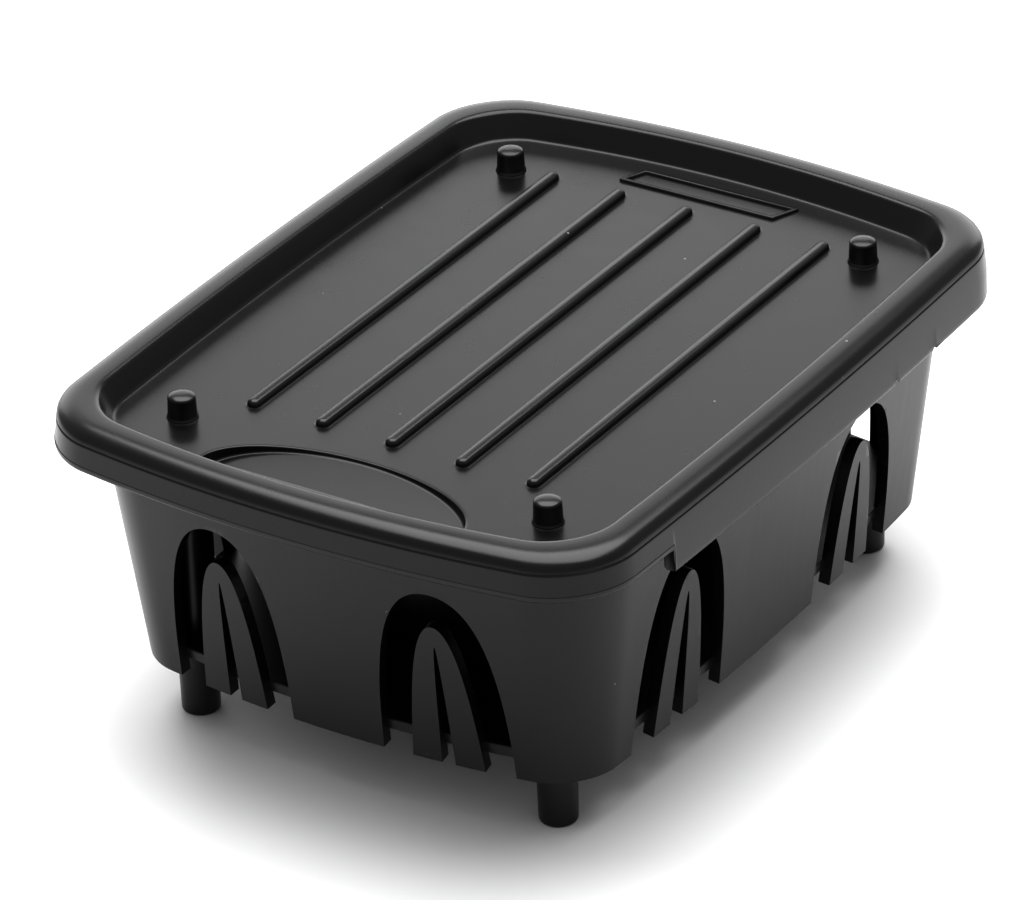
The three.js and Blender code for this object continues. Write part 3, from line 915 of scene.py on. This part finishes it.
def wall_rows():
    """Heights at which the wall is cut into rows."""
    low = bpy.context.scene.bait_tub.wall_bottom
    return [low + (WALL_TOP - low) * i / WALL_ROWS for i in range(1, WALL_ROWS)]


def on_wall(tub, side):
    """A function that lays a flat point on one wall. side counts quarter turns from the rear
    wall, so that 1 is the left wall, 2 the front one and 3 the right one."""
    sign = 1 if side in (0, 3) else -1

    def place(across, z):
        ring = tub_ring(tub, z)
        if side % 2 == 0:
            x = -sign * across
            y = sign * (ring.half_y + tub.bow_y * (1 - (x / ring.half_x) ** 2))
        else:
            y = sign * across
            x = sign * (ring.half_x + tub.bow_x * (1 - (y / ring.half_y) ** 2))
        return Vector((x, y, z))

    return place


def doorways(side):
    """The doorways of one wall as (across, Arch), in order across it."""
    if side % 2 == 0:
        return [(sign * (POST_X - END_ARCH.from_post), END_ARCH) for sign in (-1, 1)]
    to_rear = 1 if side == 3 else -1  # which way across the wall its rear end lies
    return sorted([
        (-to_rear * (POST_Y - SIDE_ARCH_FRONT.from_post), SIDE_ARCH_FRONT),
        (to_rear * (POST_Y - SIDE_ARCH_REAR.from_post), SIDE_ARCH_REAR),
    ])


def wall_side(shell, tub, side):
    """One side of the wall with its doorways and the slit tongues that stand in them."""
    low, high = tub.wall_bottom, WALL_TOP
    skirt_low = RIM_TOP - bpy.context.scene.bait_lid.skirt_deep
    end = side % 2 == 0
    place = on_wall(tub, side)

    def reach(z):
        ring = tub_ring(tub, z)
        return (ring.half_x if end else ring.half_y) - ring.corner

    foot, head = reach(low), reach(high)
    outline = [(-foot, low)]
    for centre, arch in doorways(side):
        top = skirt_low - arch.below_skirt
        outline += arch_curve(centre, arch.half, low, top, ARCH_BULGE)
    outline += [(foot, low), (head, high), (-head, high)]
    count = END_COLUMNS if end else SIDE_COLUMNS
    stops = [head * (2 * i / count - 1) for i in range(1, count)]
    wall_sheet(shell, outline[::-1], stops, place)
    for centre, arch in doorways(side):
        tongue_top = skirt_low - arch.below_skirt - TONGUE_BELOW_ARCH
        slit_top = tongue_top - SLIT_BELOW_TONGUE
        slit = arch_curve(centre, arch.slit_half, low, slit_top, SLIT_BULGE, 14)
        tongue = arch_curve(centre, TONGUE_HALF, low, tongue_top, TONGUE_BULGE, 20)
        wall_sheet(shell, slit + tongue[::-1], stops, place)


def wall_corner(shell, tub, x, y, start):
    """One round corner of the wall, between two sides."""
    low, high = tub.wall_bottom, WALL_TOP
    bm = bmesh.new()
    bmesh.ops.create_grid(bm, x_segments=CORNER_STEPS, y_segments=WALL_ROWS, size=0.5)
    for v in bm.verts:
        z = low + (high - low) * (v.co.y + 0.5)
        angle = (start + v.co.x + 0.5) * math.pi / 2
        v.co = plan_point(Column(x, y, angle), tub_ring(tub, z), (tub.bow_x, tub.bow_y))
    take_in(shell, bm)


def tub_wall(tub):
    """The wall with its doorways and tongues, as a closed shell."""
    shell = bmesh.new()
    for side in range(4):
        wall_side(shell, tub, side)
    for x, y, start in ((1, 1, 0), (-1, 1, 1), (-1, -1, 2), (1, -1, 3)):
        wall_corner(shell, tub, x, y, start)
    bmesh.ops.remove_doubles(shell, verts=shell.verts, dist=WELD)
    shell.normal_update()
    inwards = [f for f in shell.faces if f.normal.xy.dot(f.calc_center_median().xy) < 0]
    bmesh.ops.reverse_faces(shell, faces=inwards)
    bmesh.ops.solidify(shell, geom=shell.faces[:], thickness=tub.wall)
    round_edges(shell, tub.edge_round)
    return shell


FLOOR_EDGE = 0.1 * MM


def tub_floor(tub):
    """The floor, whose edge runs into the wall."""
    bottom, top, into = tub.floor_top - tub.wall, tub.floor_top, tub.wall - OVERLAP
    rings = [
        tub_ring(tub, bottom, into + FLOOR_EDGE),
        tub_ring(tub, bottom + FLOOR_EDGE, into),
        tub_ring(tub, top - FLOOR_EDGE, into),
        tub_ring(tub, top, into + FLOOR_EDGE),
    ]
    floor = bmesh.new()
    close_skin(floor, run_plan(floor, rings, (tub.bow_x, tub.bow_y), plan_columns()))
    return floor


LEG_TAPER = (0.05 * MM, 0.1 * MM)  # radius lost at the foot and gained at the floor
LEG_ROUND, POST_ROUND = 0.45 * MM, 0.2 * MM
BORE_SPARE = 0.6 * MM  # bore below the tip of the pin


def leg_profile(tub):
    """A leg from the ground up into the floor."""
    radius, top = tub.leg_radius, tub.floor_top - tub.wall + OVERLAP
    corners = [(0, 0), (radius - LEG_TAPER[0], 0), (radius + LEG_TAPER[1], top), (0, top)]
    return softened(corners, LEG_ROUND, 5)


def post_profile(tub):
    """A hollow post from the floor to the top of the wall."""
    foot, radius = tub.floor_top - OVERLAP, tub.post_radius
    bore, bottom = bpy.context.scene.bait_lid.pin_radius + FIT_GAP, LID_LOW.z - BORE_SPARE
    outside = [(0, foot), (radius, foot), (radius, WALL_TOP)]
    inside = [(bore, WALL_TOP), (bore, bottom), (0, bottom)]
    return softened(outside + inside, POST_ROUND, 3)


STOP_THICK, STOP_RUN, STOP_HEIGHT, STOP_ROUND = 1.2 * MM, 6.0 * MM, 2.2 * MM, 0.12 * MM


def tray_stop(tub, side_x, side_y):
    """An angled rib that keeps one corner of the tray in place."""
    in_x, in_y = TRAY_HIGH.x + FIT_GAP, TRAY_HIGH.y + FIT_GAP
    out_x, out_y = in_x + STOP_THICK, in_y + STOP_THICK
    corner = [
        (in_x, in_y), (in_x, out_y - STOP_RUN), (out_x, out_y - STOP_RUN),
        (out_x, out_y), (out_x - STOP_RUN, out_y), (out_x - STOP_RUN, in_y),
    ]
    points = [Vector((x * side_x, y * side_y)) for x, y in corner]
    outline = points if side_x * side_y > 0 else points[::-1]
    stop = bmesh.new()
    steps = [(0.0, tub.floor_top - OVERLAP), (0.0, tub.floor_top + STOP_HEIGHT)]
    close_skin(stop, run_outline(stop, outline, steps))
    round_edges(stop, STOP_ROUND)
    return stop


def build_tub(tub):
    """The tub: wall, floor, four legs, posts on the front two, and the ribs round the tray."""
    bm = tub_wall(tub)
    take_in(bm, tub_floor(tub))
    for x in (-POST_X, POST_X):
        take_in(bm, turned(post_profile(tub), x, -POST_Y))
        for y in (-POST_Y, POST_Y):
            take_in(bm, turned(leg_profile(tub), x, y))
    for side_x in (-1, 1):
        for side_y in (-1, 1):
            take_in(bm, tray_stop(tub, side_x, side_y))
    return bm


# ---- Tray and bait ----

TRAY_WALL = 1.2 * MM
TRAY_CORNER = 3.0 * MM
TRAY_ROUND = 0.25 * MM
FIN_HALF, FIN_RISE = 7.0 * MM, 4.5 * MM
FIN_STEPS = 28


def rectangle_outline(x0, x1, y0, y1, radius, steps=8):
    """A closed rectangle with round corners."""
    outline = []
    for cx, cy, start in ((x1, y1, 0), (x0, y1, 1), (x0, y0, 2), (x1, y0, 3)):
        cx += -radius if cx == x1 else radius
        cy += -radius if cy == y1 else radius
        for i in range(steps + 1):
            a = (start + i / steps) * math.pi / 2
            outline.append(Vector((cx + radius * math.cos(a), cy + radius * math.sin(a))))
    return outline


def well_outline(side, inset=0.0):
    """One well of the tray, on the +Y or -Y side."""
    x = TRAY_HIGH.x - TRAY_WALL - inset
    near = TRAY_WALL / 2 + inset
    far = TRAY_HIGH.y - TRAY_WALL - inset
    y0, y1 = (near, far) if side > 0 else (-far, -near)
    return rectangle_outline(-x, x, y0, y1, TRAY_CORNER - TRAY_WALL)


def grip_fin(low):
    """The half-round fin on the wall between the wells, by which the tray is lifted."""
    root = low + TRAY_WALL / 2
    rise = TRAY_HIGH.z - FIN_RISE - root
    arc = [
        (FIN_HALF * math.cos(a), rise + FIN_RISE * math.sin(a))
        for a in (i / FIN_STEPS * math.pi for i in range(FIN_STEPS + 1))
    ]
    shape = [(-FIN_HALF, 0.0), (FIN_HALF, 0.0), *arc]
    fin = bmesh.new()
    mark = fin.verts.layers.int.new("mark")
    verts, edges = marked_circle(fin, len(shape), mark)
    for v in verts:
        x, z = shape[v[mark]]
        v.co = (x, -TRAY_WALL / 2, root + z)
    cap(fin, edges)
    made = bmesh.ops.extrude_face_region(fin, geom=fin.faces[:])["geom"]
    moved = [g for g in made if isinstance(g, bmesh.types.BMVert)]
    bmesh.ops.translate(fin, verts=moved, vec=(0, TRAY_WALL, 0))
    tidy(fin)
    round_edges(fin, TRAY_ROUND, segments=3)
    return fin


def build_tray():
    """The tray: a block with round edges, two wells and the grip fin."""
    bm = bmesh.new()
    low, top = TRAY_LOW.z, TRAY_HIGH.z - FIN_RISE
    soft = TRAY_ROUND
    outline = rectangle_outline(TRAY_LOW.x, TRAY_HIGH.x, TRAY_LOW.y, TRAY_HIGH.y, TRAY_CORNER)
    steps = [
        (soft + BORDER, low),
        (soft, low),
        (soft * 0.3, low + soft * 0.3),
        (0.0, low + soft),
        (0.0, top - soft),
        (soft * 0.3, top - soft * 0.3),
        (soft, top),
    ]
    bottom, rim = run_outline(bm, outline, steps)
    cap(bm, bottom)
    well_floor = low + TRAY_WALL
    steps = [
        (-soft, top),
        (-soft * 0.3, top - soft * 0.3),
        (0.0, top - soft),
        (0.0, well_floor + soft * 2),
        (soft * 0.6, well_floor + soft * 0.6),
        (soft * 2, well_floor),
    ]
    for side in (-1, 1):
        add_feature(bm, rim, well_outline(side), steps)
    fill_flat(bm, rim)
    tidy(bm)
    take_in(bm, grip_fin(low))
    return bm


CAKE_EDGE, CAKE_ROUND = 0.3 * MM, 0.7 * MM  # at its foot and its top
CAKE_GRID = 0.8 * MM
CAKE_DENT, CAKE_LUMP = 0.5 * MM, 2.5 * MM  # depth and size of the unevenness


def build_bait(side):
    """A pressed cake: a rounded slab with an uneven top."""
    low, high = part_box("bait_front" if side < 0 else "bait_rear")
    bm = bmesh.new()
    steps = [
        (CAKE_EDGE, low.z),
        (0.0, low.z + CAKE_EDGE),
        (0.0, high.z - CAKE_ROUND),
        (CAKE_ROUND * 0.3, high.z - CAKE_ROUND * 0.3),
        (CAKE_ROUND, high.z),
    ]
    close_skin(bm, run_outline(bm, well_outline(side, FIT_GAP), steps))
    for axis in (Vector((1, 0, 0)), Vector((0, 1, 0))):
        start, end = axis.dot(low), axis.dot(high)
        for i in range(1, math.ceil((end - start) / CAKE_GRID)):
            everything = [*bm.verts, *bm.edges, *bm.faces]
            bmesh.ops.bisect_plane(
                bm, geom=everything, plane_co=axis * (start + i * CAKE_GRID), plane_no=axis
            )
    bmesh.ops.recalc_face_normals(bm, faces=bm.faces)
    for v in bm.verts:
        if v.co.z > high.z - CAKE_ROUND:
            v.co.z -= CAKE_DENT * abs(noise.noise(v.co / CAKE_LUMP))
    return bm


# ---- Stage ----

EXPOSURE, GAMMA = 0.5, 0.72  # a hard contrast between the black plastic and the paper
FLOOR_HALF = 4.0
WORLD_STRENGTH = 0.42
# Name, size, power, place and target of each light. The one above throws the station's shadow
# towards the viewer, and the sunk panel mirrors the bright backdrop.
LIGHTS = (
    ("softbox_above", (0.48, 0.42), 2.6, (-0.03, 0.07, 0.42), (0, 0, 0.02)),
    ("backdrop", (1.5, 0.62), 4.8, (-0.55, 0.84, 0.31), (0, 0, 0.2)),
)
LID_MIDDLE = Vector((0, -0.54 * MM, PANEL_TOP))
SENSOR_WIDTH = 36.0  # in millimetres


def paper_floor(scene):
    """The white floor, which takes only light and shadow."""
    bm = bmesh.new()
    bmesh.ops.create_grid(bm, x_segments=1, y_segments=1, size=FLOOR_HALF)
    mesh = bpy.data.meshes.new("floor")
    bm.to_mesh(mesh)
    bm.free()
    mesh.materials.append(matte_paper("paper_matte_white", scene.bait_finish.floor))
    floor = bpy.data.objects.new("floor", mesh)
    scene.collection.objects.link(floor)


def dim_room(scene):
    """Even white light from all round."""
    world = bpy.data.worlds.new("studio")
    world.use_nodes = True
    scene.world = world
    background = world.node_tree.nodes["Background"]
    background.inputs["Color"].default_value = (1.0, 1.0, 1.0, 1.0)
    background.inputs["Strength"].default_value = WORLD_STRENGTH


def soft_light(scene, name, size, power, place, target):
    """A rectangular light of a size, aimed from a place at a target."""
    data = bpy.data.lights.new(name, "AREA")
    data.shape, data.size, data.size_y = "RECTANGLE", *size
    data.energy = power
    lamp = bpy.data.objects.new(name, data)
    scene.collection.objects.link(lamp)
    lamp.location = place
    aim = Vector(target) - Vector(place)
    lamp.rotation_euler = aim.to_track_quat("-Z", "Y").to_euler()


def add_camera(scene, stage):
    """The camera, aimed so that the lid's middle stands a little aside and above the centre."""
    camera = bpy.data.objects.new("camera", bpy.data.cameras.new("camera"))
    scene.collection.objects.link(camera)
    az, el, roll = stage.azimuth, stage.elevation, stage.roll
    back = Vector((math.sin(az) * math.cos(el), -math.cos(az) * math.cos(el), math.sin(el)))
    level_right = Vector((math.cos(az), math.sin(az), 0))
    level_up = back.cross(level_right)
    right = level_right * math.cos(roll) + level_up * math.sin(roll)
    up = level_up * math.cos(roll) - level_right * math.sin(roll)
    aim = (-back * stage.distance - right * stage.aside - up * stage.above).normalized()
    right = (right - aim * right.dot(aim)).normalized()
    camera.location = LID_MIDDLE + back * stage.distance
    camera.rotation_euler = Matrix((right, right.cross(aim), -aim)).transposed().to_euler()
    camera.data.lens, camera.data.sensor_width = stage.lens, SENSOR_WIDTH
    camera.data.clip_start, camera.data.clip_end = 0.01, 20.0
    scene.camera = camera


# ---- Operators ----


class BAIT_OT_lid(bpy.types.Operator):
    """Builds the lid: ribbed panel, rim, skirt, pegs, pins, thumb recess and blank label."""

    bl_idname = "bait_station.lid"
    bl_label = "Lid"

    def execute(self, context):
        finish = context.scene.bait_finish
        material = moulded_polypropylene(
            "polypropylene_moulded_lid", finish.plastic, finish.dust, 0.0
        )
        bm = build_lid(context.scene.bait_lid)
        make_piece(bm, "lid_moulding", material, "cover", ["lid"])
        return {"FINISHED"}


class BAIT_OT_tub(bpy.types.Operator):
    """Builds the tub: wall with doorways and tongues, floor, legs and posts."""

    bl_idname = "bait_station.tub"
    bl_label = "Tub"

    def execute(self, context):
        finish = context.scene.bait_finish
        material = moulded_polypropylene(
            "polypropylene_moulded_tub", finish.plastic, finish.dust, 0.08
        )
        bm = build_tub(context.scene.bait_tub)
        piece = make_piece(
            bm, "tub_moulding", material, "station", ["base"], math.radians(40)
        )
        weighted = piece.modifiers.new("flat faces stay flat", "WEIGHTED_NORMAL")
        weighted.keep_sharp = True
        return {"FINISHED"}


class BAIT_OT_tray(bpy.types.Operator):
    """Builds the two-well bait tray with its grip fin."""

    bl_idname = "bait_station.tray"
    bl_label = "Tray"

    def execute(self, context):
        finish = context.scene.bait_finish
        material = moulded_polypropylene(
            "polypropylene_satin_tray", finish.tray, finish.dust, 0.15
        )
        make_piece(build_tray(), "tray_moulding", material, "tray", ["bait_tray"])
        return {"FINISHED"}


class BAIT_OT_bait(bpy.types.Operator):
    """Builds the two bait cakes."""

    bl_idname = "bait_station.bait"
    bl_label = "Bait"

    def execute(self, context):
        material = pressed_bait("bait_pressed_meal", context.scene.bait_finish.bait)
        for side, name in ((-1, "front"), (1, "rear")):
            make_piece(
                build_bait(side), f"bait_cake_{name}", material, "tray", [f"bait_{name}"]
            )
        return {"FINISHED"}


class BAIT_OT_stage(bpy.types.Operator):
    """Makes the pale floor, the soft light and the camera."""

    bl_idname = "bait_station.stage"
    bl_label = "Stage"

    def execute(self, context):
        scene = context.scene
        view = scene.view_settings
        view.view_transform, view.exposure, view.gamma = "Standard", EXPOSURE, GAMMA
        paper_floor(scene)
        dim_room(scene)
        for light in LIGHTS:
            soft_light(scene, *light)
        add_camera(scene, scene.bait_stage)
        return {"FINISHED"}


class BAIT_PT_panel(bpy.types.Panel):
    """Lists the pieces, their sizes and the stage."""

    bl_idname = "BAIT_PT_panel"
    bl_label = "Bait station"
    bl_space_type = "VIEW_3D"
    bl_region_type = "UI"
    bl_category = "Bait station"

    def draw(self, context):
        scene = context.scene
        for group, operators in (
            (scene.bait_lid, (BAIT_OT_lid,)),
            (scene.bait_tub, (BAIT_OT_tub, BAIT_OT_tray, BAIT_OT_bait)),
            (scene.bait_finish, ()),
            (scene.bait_stage, (BAIT_OT_stage,)),
        ):
            box = self.layout.box()
            for name in group.bl_rna.properties.keys():
                if name not in ("name", "rna_type"):
                    box.prop(group, name)
            for operator in operators:
                box.operator(operator.bl_idname)


GROUPS = {
    "bait_lid": BaitStationLidSizes,
    "bait_tub": BaitStationTubSizes,
    "bait_finish": BaitStationFinish,
    "bait_stage": BaitStationStage,
}
OPERATORS = (BAIT_OT_stage, BAIT_OT_tub, BAIT_OT_tray, BAIT_OT_bait, BAIT_OT_lid)


def register():
    for cls in (*GROUPS.values(), *OPERATORS, BAIT_PT_panel):
        bpy.utils.register_class(cls)
    for name, group in GROUPS.items():
        setattr(bpy.types.Scene, name, bpy.props.PointerProperty(type=group))


def unregister():
    for name in GROUPS:
        delattr(bpy.types.Scene, name)
    for cls in reversed((*GROUPS.values(), *OPERATORS, BAIT_PT_panel)):
        bpy.utils.unregister_class(cls)


def main():
    register()
    bpy.ops.bait_station.stage()
    bpy.ops.bait_station.tub()
    bpy.ops.bait_station.tray()
    bpy.ops.bait_station.bait()
    bpy.ops.bait_station.lid()


if __name__ == "__main__":
    main()
